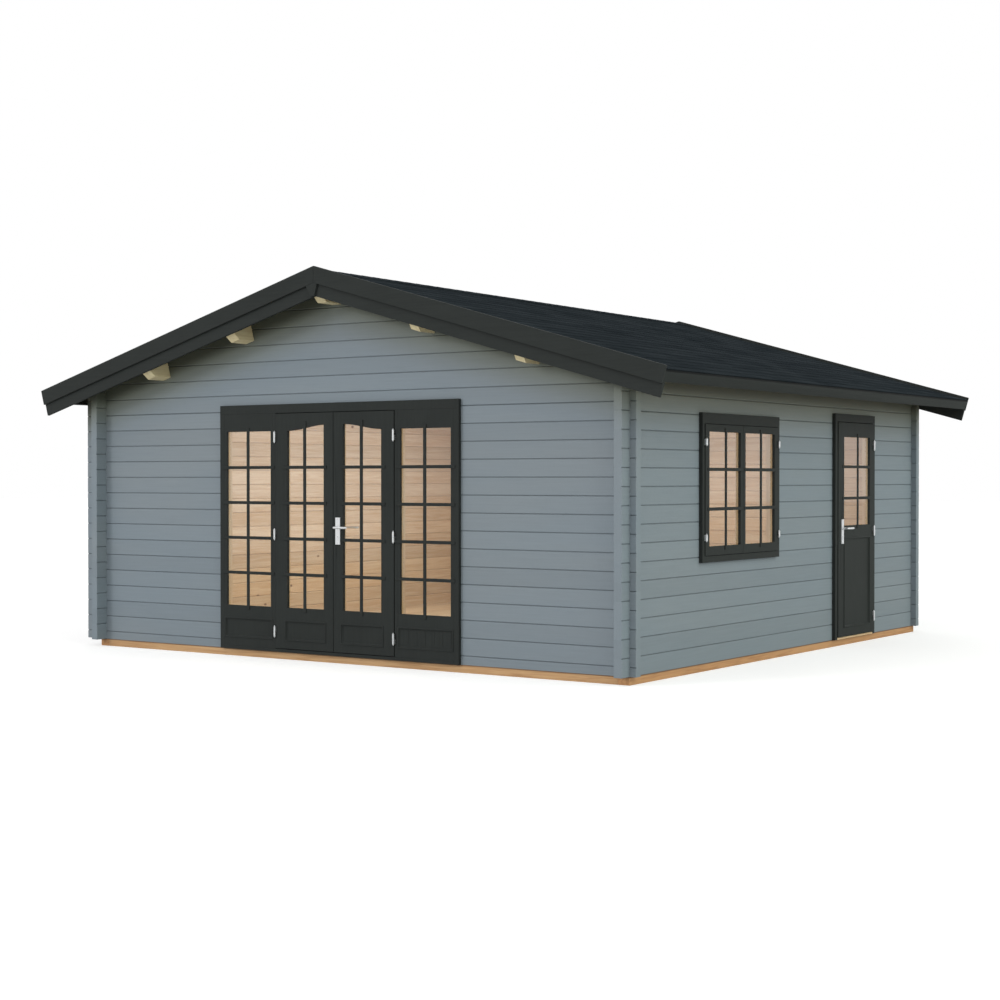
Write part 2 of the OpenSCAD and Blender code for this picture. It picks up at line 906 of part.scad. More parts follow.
module side_lever() {
  at_side_leaf() lever(splate_x, splate_z);
}

// ---- nodes ----

sill_beams_sides();
sill_beams_ends();
floor_joists();
floor();
front_wall_left();
front_wall_right();
front_gable();
back_wall();
left_wall();
right_wall_front();
right_wall_back();
right_wall_top();
ridge_purlin();
side_purlins();
roof_deck_left();
roof_deck_right();
roof_shingles_left();
roof_shingles_right();
ridge_strip_cap();
front_bargeboards();
back_bargeboards();
lower_bargeboards();
eaves_boards();
front_door_posts();
front_door_head();
thresholds();
side_lights();
front_leaf_left();
front_leaf_right();
front_leaf_glass_left();
front_leaf_glass_right();
window_frame();
window_sashes();
fixed_glass();
side_door_jambs();
side_door_head();
side_leaf();
side_leaf_glass();
frame_hinge_halves();
left_leaf_hinge_halves();
right_leaf_hinge_halves();
side_leaf_hinge_halves();
front_handle_plates();
front_lever();
side_handle_plates();
side_lever();
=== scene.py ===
"""Looks of the log cabin, for Blender 4.5.

Metres, +Z up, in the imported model's own frame. The front wall faces -Y, the side door and
the window face +X. The CAD nodes give every place: joinery, walls and beams are shown as
copies with eased edges, and roofing, boards, bars, mouldings and fittings are built here.
"""

import json
import math
import random

import bmesh
import bpy
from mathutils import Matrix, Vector

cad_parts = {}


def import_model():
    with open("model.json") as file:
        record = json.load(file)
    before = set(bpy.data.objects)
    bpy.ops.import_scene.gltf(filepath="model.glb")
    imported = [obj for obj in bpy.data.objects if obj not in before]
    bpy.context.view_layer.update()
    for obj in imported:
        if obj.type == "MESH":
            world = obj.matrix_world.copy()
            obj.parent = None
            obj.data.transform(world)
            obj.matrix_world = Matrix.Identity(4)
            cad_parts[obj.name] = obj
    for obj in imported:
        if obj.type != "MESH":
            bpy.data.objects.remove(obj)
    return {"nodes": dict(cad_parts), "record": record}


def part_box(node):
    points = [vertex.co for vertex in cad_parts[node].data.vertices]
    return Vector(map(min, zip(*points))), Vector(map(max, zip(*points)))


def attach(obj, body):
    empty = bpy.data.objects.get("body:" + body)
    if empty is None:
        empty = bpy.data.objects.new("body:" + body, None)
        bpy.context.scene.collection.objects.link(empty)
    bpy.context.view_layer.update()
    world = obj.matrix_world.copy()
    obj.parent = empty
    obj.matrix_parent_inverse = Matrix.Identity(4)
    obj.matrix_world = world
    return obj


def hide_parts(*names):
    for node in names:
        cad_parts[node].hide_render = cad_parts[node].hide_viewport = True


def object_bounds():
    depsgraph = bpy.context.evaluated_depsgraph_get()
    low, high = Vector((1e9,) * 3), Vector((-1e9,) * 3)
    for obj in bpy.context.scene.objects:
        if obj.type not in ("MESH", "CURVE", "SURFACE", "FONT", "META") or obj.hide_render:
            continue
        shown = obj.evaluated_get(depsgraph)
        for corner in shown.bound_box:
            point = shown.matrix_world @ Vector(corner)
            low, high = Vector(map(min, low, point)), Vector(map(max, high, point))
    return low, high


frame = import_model()
cad_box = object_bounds()
rng = random.Random(7)

# ---------------------------------------------------------------- sizes shared with the CAD
LOG_H = 0.133  # height of one log course
WALL_BASE = 0.060  # underside of the lowest log
WALL_MID = 0.033  # from a wall's outer face to its middle
PITCH = math.radians(15.8)
RIDGE_Z = cad_box[1].z  # bargeboard tops meet here
SHADE_FROM = 0.19  # depth below the bargeboard tops at which the walls come into sight
ROOF_END = 2.8955  # roof sheets end at plus and minus this along Y
SHINGLE_N = (0.020, 0.028)  # distances below the bargeboard tops, square to the slope
DECK_N = (0.028, 0.048)
SHINGLE_U = 3.2214  # length of each sheet down its slope
DECK_U = 3.1934
LEAF_OUT = 2.6715  # outer face of the front leaves, as a distance out along -Y
LIGHT_OUT = 2.6655  # outer face of the side lights and casings
SIDE_OUT = 2.686  # outer face of the side leaf and sashes, along +X
KICK_Z = (0.157, 0.315)  # recessed panels under the front glass
SIDE_PANEL_Z = (0.157, 0.933)
KICK_WIDER = 0.020  # a kick panel is this much wider than the glass, each side
RECESS = 0.008  # depth of the panels behind their leaf's face
LEVER_Z = {"front": 1.065, "side": 1.017}  # height of each lever's spindle
COLLAR_BORE = 0.0088  # radius of the hole that each lever turns in

# Centre heights of the horizontal glazing bars.
FRONT_BARS = (0.684, 0.968, 1.252, 1.536)
WINDOW_BARS = (1.218, 1.516)
SIDE_DOOR_BARS = (1.277, 1.549)

# ---------------------------------------------------------------- sizes of this script's own
SHARP_EDGE = math.radians(32)  # steeper edges are eased, or left crisp on a piece with no easing
EASE_FINE, EASE, EASE_BEAM = 0.0015, 0.002, 0.003  # radii of the eased edges
EASE_BAR, EASE_TAB, EASE_CAP = 0.0025, 0.0006, 0.0005
SUNK = 0.0005  # planted pieces reach this far into what carries them
UNDER_RIDGE = 0.012  # the tabs start this far down the slope, under the caps
EAVES_SHADOW_DROP = 0.018  # from the top of the eaves boards to the painted shadow line on them
SIDE_THRESHOLD_X = 2.0  # only the side door's threshold lies beyond this
LIGHTS_Y = -2.0  # the side lights' panes lie in front of this, and the window's behind it
DECK_BOARDS = 48
FLOOR_BOARDS = 46
LIGHT_BOARDS = 6  # upright boards in the panel under the right side light
HINGE_SPACING = 0.3  # hinges on one line are further apart than this
RUN_ON = 0.042  # how far a level bar runs past the glass, where it isn't cut shorter
RUN_ON_SASH = 0.034
RUN_ON_MEETING = {"left": (RUN_ON, 0.034), "right": (0.020, RUN_ON)}  # cut where the leaves meet

# ---------------------------------------------------------------- colours (sRGB, 0 to 255)
# A pair gives the two ends of one surface's range of tones.
PAINT = (125, 134, 140)
PAINT_COOL = (121, 132, 140)
PAINTED_EAVES_BOUNCE = (115, 120, 109)  # painted light: the olive bounce light that bare boards throw on the paint under them
PAINTED_EAVES_SHADOW = (62, 66, 55)  # painted shade, right against the roof's edge
PAINTED_GROOVE_SHADE = (52, 58, 62)  # painted shade in the joint between two logs
CHARCOAL = (47, 50, 49)
PINE = (224, 202, 170)
PINE_DARK = (208, 178, 140)
# Painted light: a warmer copy of PINE for the inside of the front, back and gable walls, set
# against the blue of the room lamps.
PINE_WARM = (215, 187, 150)
PINE_WARM_DARK = (200, 165, 124)
# Painted light: paler than PINE, lifting the purlins out of the deep shade under the roof.
PURLIN = (238, 224, 182)
PURLIN_DARK = (224, 206, 162)
SOFFIT = (212, 178, 122)
SOFFIT_DARK = (188, 148, 94)
BEAM = (209, 170, 124)
BEAM_DARK = (180, 138, 95)
# Painted light: BEAM made darker and redder for the side beams and joists, against the green cast
# of the light from the right.
BEAM_WARM = (202, 153, 105)
BEAM_WARM_DARK = (172, 122, 78)
PAINTED_BEAM_SHADOW = (84, 58, 38)  # painted shadow under the lowest log
PAINTED_TAB_SHADOW = (14, 15, 17)  # painted shadow under the lowest tabs
END_GRAIN = (216, 210, 168)
KNOT = (112, 70, 40)
FELT = (34, 39, 43)
FELT_PALE = (48, 53, 57)
SILVER = (238, 240, 242)
HOLE_SHADE = (30, 30, 32)  # painted shade: the dark inside of the screw slots and keyhole

# ---------------------------------------------------------------- surfaces
JOINERY_TONE = 0.6  # in place of a board's random tone, where a node has no single boards
THRESHOLD_TONE = 0.4
DULL = {"Specular_IOR_Level": 0.06}  # the charcoal paint hardly shines
PAINT_RELIEF, LOG_RELIEF, PINE_RELIEF, FELT_RELIEF = 0.0004, 0.0005, 0.0006, 0.0012  # of the bump
PINE_ROUGHNESS = 0.62

# ---------------------------------------------------------------- camera and light
CAMERA_PLACE = (8.88485, -13.29907, 1.44724)
CAMERA_TURN = (89.303529, 0.0, 34.520258)  # degrees about X, Y and Z
CAMERA_LENS = 63.591  # millimetres, on a sensor 36 wide
AMBIENT = 0.56  # the white world's strength for the rays that light the cabin
FLOOR_GLOW = 0.52  # added to the floor for the eye alone
FLOOR_ALBEDO = 0.6
ROOM_WATTS = 60.0
ROOM_LAMP_SIZE = 3.8
# Each sun's direction of travel, strength, angular size in degrees, and colour.
SUNS = {
    "key_sun": ((0.6, 1.0, -0.42), 0.60, 12.0, (1.0, 0.985, 0.985)),
    "front_fill": ((0.15, 1.0, -0.62), 1.06, 80.0, (1.0, 0.985, 0.985)),
    "right_fill": ((-1.0, -0.05, -0.4), 1.66, 70.0, (0.92, 1.0, 0.88)),
    "back_fill": ((0.7, -1.0, -0.4), 0.85, 80.0, (1.0, 1.0, 1.0)),
}
# Each room lamp's height, whether it shines upwards, and its colour.
ROOM_LAMPS = {
    "room_lamp_down": (2.25, False, (1.3, 1.32, 1.27)),
    "room_lamp_up": (0.50, True, (0.44, 0.66, 1.20)),
}
ROOM_LAMP_SHIFT = (-0.05, -0.25)  # from the middle of the floor


def linear(rgb):
    """sRGB, 0 to 255, as the linear colour with alpha that a socket takes."""
    channels = [c / 255 for c in rgb]
    return (*[c / 12.92 if c <= 0.04045 else ((c + 0.055) / 1.055) ** 2.4 for c in channels], 1.0)


# ================================================================ shader graphs
class Graph:
    """A material's nodes. An input takes a value, a node or an output socket."""

    def __init__(self, name):
        self.material = bpy.data.materials.new(name)
        self.material.use_nodes = True
        self.tree = self.material.node_tree
        self.tree.nodes.clear()
        self.place = self.add("TexCoord").outputs["Object"]

    def add(self, kind, inputs=None, **settings):
        made = self.tree.nodes.new("ShaderNode" + kind)
        for key, value in settings.items():
            setattr(made, key, value)
        for key, value in (inputs or {}).items():
            self.feed(made.inputs[key], value)
        return made

    def feed(self, socket, value):
        if isinstance(value, bpy.types.Node):
            value = value.outputs[0]
        if isinstance(value, bpy.types.NodeSocket):
            self.tree.links.new(value, socket)
        else:
            socket.default_value = value

    def math(self, operation, *values):
        return self.add("Math", dict(enumerate(values)), operation=operation).outputs[0]

    def mix(self, factor, first, second, blend="MIX"):
        made = self.add("Mix", {0: factor, 6: first, 7: second}, data_type="RGBA", blend_type=blend)
        return made.outputs[2]

    def remap(self, value, low, high, to_low=0.0, to_high=1.0, smooth=True):
        kind = "SMOOTHSTEP" if smooth else "LINEAR"
        inputs = {"Value": value, "From Min": low, "From Max": high,
                  "To Min": to_low, "To Max": to_high}
        return self.add("MapRange", inputs, interpolation_type=kind).outputs[0]

    def axes(self):
        split = self.add("SeparateXYZ", {0: self.place})
        return {"X": split.outputs[0], "Y": split.outputs[1], "Z": split.outputs[2]}

    def stretched(self, along, ratio, offset=None):
        """Object coordinates squeezed along the grain, so that a noise runs with it."""
        scale = [ratio if axis == along else 1.0 for axis in "XYZ"]
        placed = self.add("VectorMath", {0: self.place, 1: scale}, operation="MULTIPLY")
        if offset is None:
            return placed.outputs[0]
        return self.add("VectorMath", {0: placed, 1: offset}, operation="ADD").outputs[0]

    def noise(self, vector, scale, detail=4.0, rough=0.55, distortion=0.0):
        inputs = {"Vector": vector, "Scale": scale, "Detail": detail, "Roughness": rough}
        inputs["Distortion"] = distortion
        return self.add("TexNoise", inputs).outputs["Fac"]

    def finish(self, colour, roughness, height, relief, **constants):
        """A Principled surface. Roughness may be linked; the constants are plain numbers."""
        shader = self.add("BsdfPrincipled", {"Base Color": colour, "Roughness": roughness})
        for key, value in constants.items():
            shader.inputs[key.replace("_", " ")].default_value = value
        bump = self.add("Bump", {"Height": height, "Distance": relief})
        self.feed(shader.inputs["Normal"], bump)
        self.add("OutputMaterial", {"Surface": shader})
        return self.material


def board_tone(g):
    """The random number that each board, tile or strip carries on its faces."""
    return g.add("Attribute", attribute_name="tone").outputs["Fac"]


def random_of(g, number):
    """A random number from 0 to 1 for each whole number."""
    return g.add("TexWhiteNoise", {"W": number}, noise_dimensions="1D").outputs["Value"]


def pine_colour(g, along, across, tone, light, dark):
    """Softwood: long growth lines, a tone for each board, and scattered knots.
    Gives the colour and the height for its bump."""
    axes = g.axes()
    shift = g.add("CombineXYZ", {i: g.math("MULTIPLY", tone, 31.0 + 7 * i) for i in range(3)})
    place = g.stretched(along, 0.045, shift.outputs[0])
    lines = g.noise(place, 42.0, detail=3.0, distortion=1.2)
    broad = g.noise(place, 7.0, detail=2.0)
    grain = g.math("ADD", g.math("MULTIPLY", lines, 0.6), g.math("MULTIPLY", broad, 0.4))
    colour = g.mix(g.remap(grain, 0.36, 0.64), linear(dark), linear(light))

    per_metre = {along: 2.1, across: 3.4}
    core, rim, left_out, strength = 0.028, 0.062, 0.35, 0.85
    spread = {i: g.math("MULTIPLY", axes[a], per_metre[a]) for i, a in enumerate((along, across))}
    spots = g.add("CombineXYZ", {**spread, 2: g.math("MULTIPLY", tone, 19.0)})
    cells = g.add("TexVoronoi", {"Vector": spots.outputs[0], "Scale": 1.0, "Randomness": 1.0})
    rings = g.remap(cells.outputs["Distance"], core, rim, 1.0, 0.0)
    chance = g.add("SeparateXYZ", {0: cells.outputs["Color"]}).outputs[0]
    kept = g.math("GREATER_THAN", chance, left_out)
    knots = g.math("MULTIPLY", rings, kept)
    colour = g.mix(g.math("MULTIPLY", knots, strength), colour, linear(KNOT))

    shade = g.remap(tone, 0.0, 1.0, 0.90, 1.06, smooth=False)
    grey = g.add("CombineColor", {0: shade, 1: shade, 2: shade})
    return g.mix(1.0, colour, grey.outputs[0], "MULTIPLY"), g.math("SUBTRACT", grain, knots)


def cut_across(g, along):
    """1 on faces that cut across the grain."""
    normal = g.add("SeparateXYZ", {0: g.add("TexCoord").outputs["Normal"]})
    return g.remap(g.math("ABSOLUTE", normal.outputs["XYZ".index(along)]), 0.8, 0.95)


def end_grain(g, along, colour):
    """Evens out the faces that cut across the grain."""
    fine = g.noise(g.place, 60.0, detail=2.0)
    cut = g.math("MULTIPLY", cut_across(g, along), g.remap(fine, 0.3, 0.7, 0.6, 0.9))
    return g.mix(cut, colour, linear(END_GRAIN))


def pine(name, along, across, light=PINE, dark=PINE_DARK, roughness=PINE_ROUGHNESS):
    """Bare planed softwood with the grain along one axis."""
    g = Graph(name)
    colour, height = pine_colour(g, along, across, board_tone(g), light, dark)
    return g.finish(end_grain(g, along, colour), roughness, height, PINE_RELIEF)


def beam(name, along, light, dark):
    """Treated timber, with a painted shadow line where the lowest log stands on it."""
    g = Graph(name)
    colour, height = pine_colour(g, along, "Z", board_tone(g), light, dark)
    # painted shadow along the top of the beam, under the lowest log
    line = g.remap(g.axes()["Z"], WALL_BASE - 0.011, WALL_BASE - 0.004, 0.0, 0.75)
    return g.finish(g.mix(line, colour, linear(PAINTED_BEAM_SHADOW)), PINE_ROUGHNESS, height, PINE_RELIEF)


def inside_room(g):
    """1 on the faces that look into the room, from where they are."""
    axes, inner = g.axes(), 1.0
    for axis, (low, high) in {"X": ROOM_X, "Y": ROOM_Y}.items():
        for operation, limit in (("GREATER_THAN", low), ("LESS_THAN", high)):
            inner = g.math("MULTIPLY", inner, g.math(operation, axes[axis], limit))
    return inner


def shaded_paint(g, paint):
    """The paint's colour with the deep shade under the roof's edges painted in: an olive cast of
    painted bounce light over the first courses, and a darker painted band right against the roof."""
    cast, band = SHADE_FROM + 0.40, SHADE_FROM + 0.12
    axes = g.axes()
    fall = g.math("MULTIPLY", g.math("ABSOLUTE", axes["X"]), math.tan(PITCH))
    below = g.math("SUBTRACT", g.math("SUBTRACT", RIDGE_Z, fall), axes["Z"])
    # painted bounce light: an olive tint that fades out over the first courses below the roof
    paint = g.mix(g.remap(below, SHADE_FROM, cast, 1.0, 0.0), paint, linear(PAINTED_EAVES_BOUNCE))
    # painted shade: a dark band right against the roof
    return g.mix(g.remap(below, SHADE_FROM, band, 0.85, 0.0), paint, linear(PAINTED_EAVES_SHADOW))


def painted_logs(name, along, first_joint, light=PINE, dark=PINE_DARK):
    """Grey-blue paint outside and bare pine inside, log by log, with painted shade in the joints
    and under the roof's edges. first_joint is the height of a groove between two courses."""
    g = Graph(name)
    z = g.math("SUBTRACT", g.axes()["Z"], first_joint)
    courses = g.math("DIVIDE", z, LOG_H)
    tone = random_of(g, g.math("FLOOR", courses))
    bare, bare_height = pine_colour(g, along, "Z", tone, light, dark)

    fibres = g.noise(g.stretched(along, 0.03), 85.0, detail=3.0)
    clouds = g.noise(g.stretched(along, 0.25), 1.6, detail=3.0)
    paint = g.mix(g.remap(clouds, 0.3, 0.7), linear(PAINT), linear(PAINT_COOL))
    paint = shaded_paint(g, paint)
    level = g.math("ADD", g.remap(tone, 0, 1, 0.965, 1.03, smooth=False),
                   g.remap(fibres, 0.3, 0.7, -0.03, 0.03, smooth=False))
    grey = g.add("CombineColor", {0: level, 1: level, 2: level})
    paint = g.mix(1.0, paint, grey.outputs[0], "MULTIPLY")

    # Painted shade down in the V joint between two logs: darker paint outside, and a darker pine
    # tone (the knot colour) inside.
    from_joint = g.math("MULTIPLY", g.math("PINGPONG", courses, 0.5), LOG_H)
    groove = g.remap(from_joint, 0.0012, 0.0045, 1.0, 0.0)
    groove = g.math("MULTIPLY", groove, g.math("SUBTRACT", 1.0, cut_across(g, along)))
    paint = g.mix(g.math("MULTIPLY", groove, 0.45), paint, linear(PAINTED_GROOVE_SHADE))
    bare = g.mix(g.math("MULTIPLY", groove, 0.3), bare, linear(KNOT))

    room = inside_room(g)
    height = g.mix(room, fibres, bare_height)
    return g.finish(g.mix(room, paint, bare), 0.58, height, LOG_RELIEF,
                    Specular_IOR_Level=0.35)


def charcoal_surface(g, along):
    """Dark satin paint: colour, roughness and height."""
    fibres = g.noise(g.stretched(along, 0.04), 90.0, detail=3.0)
    clouds = g.noise(g.place, 3.0, detail=3.0)
    dark = [0.965 * c for c in CHARCOAL]
    light = [1.035 * c for c in CHARCOAL]
    blend = g.math("ADD", g.math("MULTIPLY", fibres, 0.5), g.math("MULTIPLY", clouds, 0.5))
    colour = g.mix(g.remap(blend, 0.35, 0.65), linear(dark), linear(light))
    return colour, g.remap(clouds, 0.3, 0.7, 0.48, 0.58, smooth=False), fibres


def charcoal(name, along):
    """The charcoal paint alone."""
    g = Graph(name)
    colour, roughness, height = charcoal_surface(g, along)
    return g.finish(colour, roughness, height, PAINT_RELIEF, **DULL)


def eaves_paint(name):
    """Charcoal with a painted shadow along its top, where the overhanging tabs would shade it."""
    g = Graph(name)
    colour, roughness, height = charcoal_surface(g, "Y")
    # painted shadow of the overhanging tabs along the top of the boards
    gap = g.remap(g.axes()["Z"], EAVES_SHADOW_Z - 0.003, EAVES_SHADOW_Z, 0.0, 0.7)
    return g.finish(g.mix(gap, colour, linear(PAINTED_TAB_SHADOW)), roughness, height, PAINT_RELIEF, **DULL)


def joinery(name, axis, limit):
    """Charcoal on the weather side of the glass, bare pine behind it. axis and limit say
    where inside begins: above limit along Y, or below it along X."""
    g = Graph(name)
    dark, roughness, height = charcoal_surface(g, "Z")
    across = "X" if axis == "Y" else "Y"
    bare, bare_height = pine_colour(g, "Z", across, JOINERY_TONE, PINE, PINE_DARK)
    order = "GREATER_THAN" if axis == "Y" else "LESS_THAN"
    inside = g.math(order, g.axes()[axis], limit)
    both = g.mix(inside, height, bare_height)
    return g.finish(g.mix(inside, dark, bare), roughness, both, PAINT_RELIEF, **DULL)


def thresholds_finish(name):
    """Charcoal on the front threshold and pale pine on the side one."""
    g = Graph(name)
    dark, roughness, height = charcoal_surface(g, "X")
    pale = pine_colour(g, "Y", "X", THRESHOLD_TONE, PINE, PINE_DARK)[0]
    at_side = g.math("GREATER_THAN", g.axes()["X"], SIDE_THRESHOLD_X)
    return g.finish(g.mix(at_side, dark, pale), roughness, height, PAINT_RELIEF, **DULL)


def felt(name):
    """Mineral-faced bitumen: fine granules, a tone for each tab, faint run-off streaks."""
    g = Graph(name)
    granules = g.noise(g.place, 420.0, detail=2.0, rough=0.7)
    streaks = g.noise(g.stretched("Y", 0.35), 4.5, detail=5.0)
    tone = board_tone(g)
    blend = g.math("ADD", g.math("MULTIPLY", granules, 0.35), g.math("MULTIPLY", streaks, 0.5))
    blend = g.math("ADD", blend, g.math("MULTIPLY", tone, 0.15))
    colour = g.mix(g.remap(blend, 0.3, 0.7), linear(FELT), linear(FELT_PALE))
    return g.finish(colour, 0.92, granules, FELT_RELIEF, Specular_IOR_Level=0.0)


def glass(name):
    """Clear glass that reflects by its angle and lets light straight through."""
    g = Graph(name)
    clear = g.add("BsdfTransparent", {"Color": (0.95, 0.965, 0.96, 1.0)})
    sheen = g.add("BsdfGlossy", {"Color": (0.86, 0.94, 1.0, 1.0), "Roughness": 0.03})
    outside = g.math("SUBTRACT", 1.0, g.add("NewGeometry").outputs["Backfacing"])
    part = g.math("MULTIPLY", g.add("Fresnel", {"IOR": 1.8}).outputs[0], outside)
    both = g.add("MixShader", {0: part, 1: clear, 2: sheen})
    g.add("OutputMaterial", {"Surface": both})
    return g.material


def metal(name, colour, roughness):
    """Satin metal with fine brushing."""
    g = Graph(name)
    brushed = g.noise(g.stretched("Z", 0.02), 900.0, detail=2.0)
    tint = g.mix(g.remap(brushed, 0.3, 0.7), linear([0.96 * c for c in colour]), linear(colour))
    rough = g.remap(brushed, 0.3, 0.7, roughness - 0.05, roughness + 0.05, smooth=False)
    return g.finish(tint, rough, brushed, 0.00005, Metallic=0.85)


# ================================================================ mesh helpers
def new_mesh():
    """An empty mesh whose faces carry a tone."""
    bm = bmesh.new()
    bm.faces.layers.float.new("tone")
    return bm


def add_faces(bm, verts, faces, tone=0.5):
    layer = bm.faces.layers.float["tone"]
    for indices in faces:
        bm.faces.new([verts[i] for i in indices])[layer] = tone


BLOCK_FACES = ((0, 1, 3, 2), (4, 6, 7, 5), (0, 4, 5, 1), (2, 3, 7, 6), (0, 2, 6, 4), (1, 5, 7, 3))


def add_block(bm, corners, tone=0.5):
    """A six-sided solid. The corners run low to high, the third direction fastest."""
    add_faces(bm, [bm.verts.new(c) for c in corners], BLOCK_FACES, tone)


def add_box(bm, low, high, tone=0.5):
    spans = [(low[i], high[i]) for i in range(3)]
    add_block(bm, [(x, y, z) for x in spans[0] for y in spans[1] for z in spans[2]], tone)


def add_turned(bm, origin, axis, profile, steps=20, closed=False):
    """Turns pairs of (distance along, radius) round an axis through the origin point. The
    ends are capped, or for a ring the last pair joins the first."""
    axis = Vector(axis).normalized()
    side = axis.orthogonal().normalized()
    other = axis.cross(side)
    rings = []
    for along, radius in profile:
        turns = [2 * math.pi * i / steps for i in range(steps)]
        rings.append([bm.verts.new(Vector(origin) + axis * along
                                   + (side * math.cos(t) + other * math.sin(t)) * radius)
                      for t in turns])
    for low, high in zip(rings, rings[1:] + rings[:1] if closed else rings[1:]):
        for i in range(steps):
            j = (i + 1) % steps
            bm.faces.new((low[i], low[j], high[j], high[i]))
    if not closed:
        bm.faces.new(rings[0])
        bm.faces.new(rings[-1])


def add_outline(bm, place, outline, back, front):
    """A flat outline of (across, up) pairs made solid between two distances out."""
    rings = [[bm.verts.new(place(a, z, out)) for a, z in outline] for out in (back, front)]
    count = len(outline)
    for i in range(count):
        j = (i + 1) % count
        bm.faces.new((rings[0][i], rings[0][j], rings[1][j], rings[1][i]))
    bm.faces.new(rings[0])
    bm.faces.new(rings[1])


def add_mitred(bm, place, across, up, profile):
    """A mitred frame. The profile is a closed run of (inset, out) pairs."""
    rings = []
    for inset, out in profile:
        a, b = across[0] + inset, across[1] - inset
        c, d = up[0] + inset, up[1] - inset
        rings.append([bm.verts.new(place(*p, out)) for p in ((a, c), (b, c), (b, d), (a, d))])
    for one, two in zip(rings, rings[1:] + rings[:1]):
        for i in range(4):
            j = (i + 1) % 4
            bm.faces.new((one[i], one[j], two[j], two[i]))


def on_front(across, up, out):
    """A point on a plane parallel to the front wall, out along -Y."""
    return Vector((across, -out, up))


def on_side(across, up, out):
    """A point on a plane parallel to the right wall, out along +X."""
    return Vector((out, across, up))


def add_strip(bm, place, across, up, out):
    """A box given by its ranges across, up and out."""
    add_block(bm, [place(a, z, o) for a in across for z in up for o in out])


def on_slope(side, u, y, n):
    """A point on one roof slope: u down it, n square into it from the bargeboard tops."""
    cos, sin = math.cos(PITCH), math.sin(PITCH)
    return Vector((side * (u * cos - n * sin), y, RIDGE_Z - u * sin - n * cos))


def mark_edges(bm):
    """Smooth over shallow edges and crisp at the others."""
    for face in bm.faces:
        face.smooth = True
    for edge in bm.edges:
        edge.smooth = edge.is_manifold and edge.calc_face_angle(math.pi) < SHARP_EDGE


def piece(name, bm, material, body, replaces=(), ease=0.0):
    """Makes the mesh an object of the cabin, with its edges eased by that radius."""
    bmesh.ops.recalc_face_normals(bm, faces=bm.faces)
    if not ease:
        mark_edges(bm)
    mesh = bpy.data.meshes.new(name)
    bm.to_mesh(mesh)
    bm.free()
    mesh.materials.append(material)
    made = bpy.data.objects.new(name, mesh)
    bpy.context.collection.objects.link(made)
    if ease:
        edges = made.modifiers.new("eased_edges", "BEVEL")
        edges.width, edges.segments, edges.limit_method = ease, 2, "ANGLE"
        edges.angle_limit = SHARP_EDGE
    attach(made, body)
    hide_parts(*replaces)
    return made


def welded(node):
    """A CAD node's mesh with shared corners."""
    bm = new_mesh()
    bm.from_mesh(frame["nodes"][node].data)
    bmesh.ops.remove_doubles(bm, verts=bm.verts, dist=1e-5)
    return bm


def solids(node):
    """(lowest, highest) corner of each separate solid in a CAD node, in order of place."""
    bm = welded(node)
    left, found = set(bm.verts), []
    while left:
        todo, part = [left.pop()], []
        while todo:
            vert = todo.pop()
            part.append(vert.co.copy())
            near = {e.other_vert(vert) for e in vert.link_edges} & left
            left -= near
            todo.extend(near)
        found.append((Vector(map(min, zip(*part))), Vector(map(max, zip(*part)))))
    bm.free()
    return sorted(found, key=lambda s: tuple(round(c, 3) for c in s[0]))


def middle(box):
    """The centre of a (lowest, highest) pair of corners."""
    return (box[0] + box[1]) / 2


# ================================================================ facts read from the frame
BODIES = frame["record"]["behaviour"]["bodies"]
BODY_OF = {node: body for body, nodes in BODIES.items() for node in nodes}
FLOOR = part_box("floor")
ROOM_X = (FLOOR[0].x - WALL_MID, FLOOR[1].x + WALL_MID)
ROOM_Y = (FLOOR[0].y - WALL_MID, FLOOR[1].y + WALL_MID)
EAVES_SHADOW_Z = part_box("eaves_boards")[1].z - EAVES_SHADOW_DROP
LIGHT_PANES = [pane for pane in solids("fixed_glass") if pane[0].y < LIGHTS_Y]
WINDOW_PANES = [pane for pane in solids("fixed_glass") if pane[0].y > LIGHTS_Y]

# ================================================================ materials
LOGS_X = painted_logs("painted_logs_x", "X", WALL_BASE + LOG_H / 2, PINE_WARM, PINE_WARM_DARK)
LOGS_Y = painted_logs("painted_logs_y", "Y", WALL_BASE)
BEAM_X = beam("beam_x", "X", BEAM, BEAM_DARK)
# painted light: the side beams take the darker, redder copy of the beam colours
BEAM_Y = beam("beam_y", "Y", BEAM_WARM, BEAM_WARM_DARK)
PINE_Y = pine("pine_y", "Y", "Z", PURLIN, PURLIN_DARK)
PINE_DOWN_SLOPE = pine("pine_down_slope", "X", "Y", SOFFIT, SOFFIT_DARK)
PINE_FLOOR = pine("pine_floor", "Y", "X", roughness=0.5)
CHARCOAL_X = charcoal("charcoal_x", "X")
EAVES = eaves_paint("eaves_paint")
CHARCOAL_Z = charcoal("charcoal_z", "Z")
JOINERY_FRONT = joinery("joinery_front", "Y", middle(LIGHT_PANES[0]).y)
JOINERY_SIDE = joinery("joinery_side", "X", middle(WINDOW_PANES[0]).x)
FRAME_FRONT = joinery("frame_front", "Y", FLOOR[0].y - WALL_MID)
FRAME_SIDE = joinery("frame_side", "X", FLOOR[1].x + WALL_MID)
THRESHOLDS = thresholds_finish("thresholds_paint")
FELT_TABS = felt("felt_tabs")
CLEAR = glass("clear_glass")
SATIN = metal("satin_silver", SILVER, 0.34)
# painted shade for the screw slots and keyhole, as a dark metal
PAINTED_HOLE_SHADE = metal("painted_hole_shade", HOLE_SHADE, 0.6)

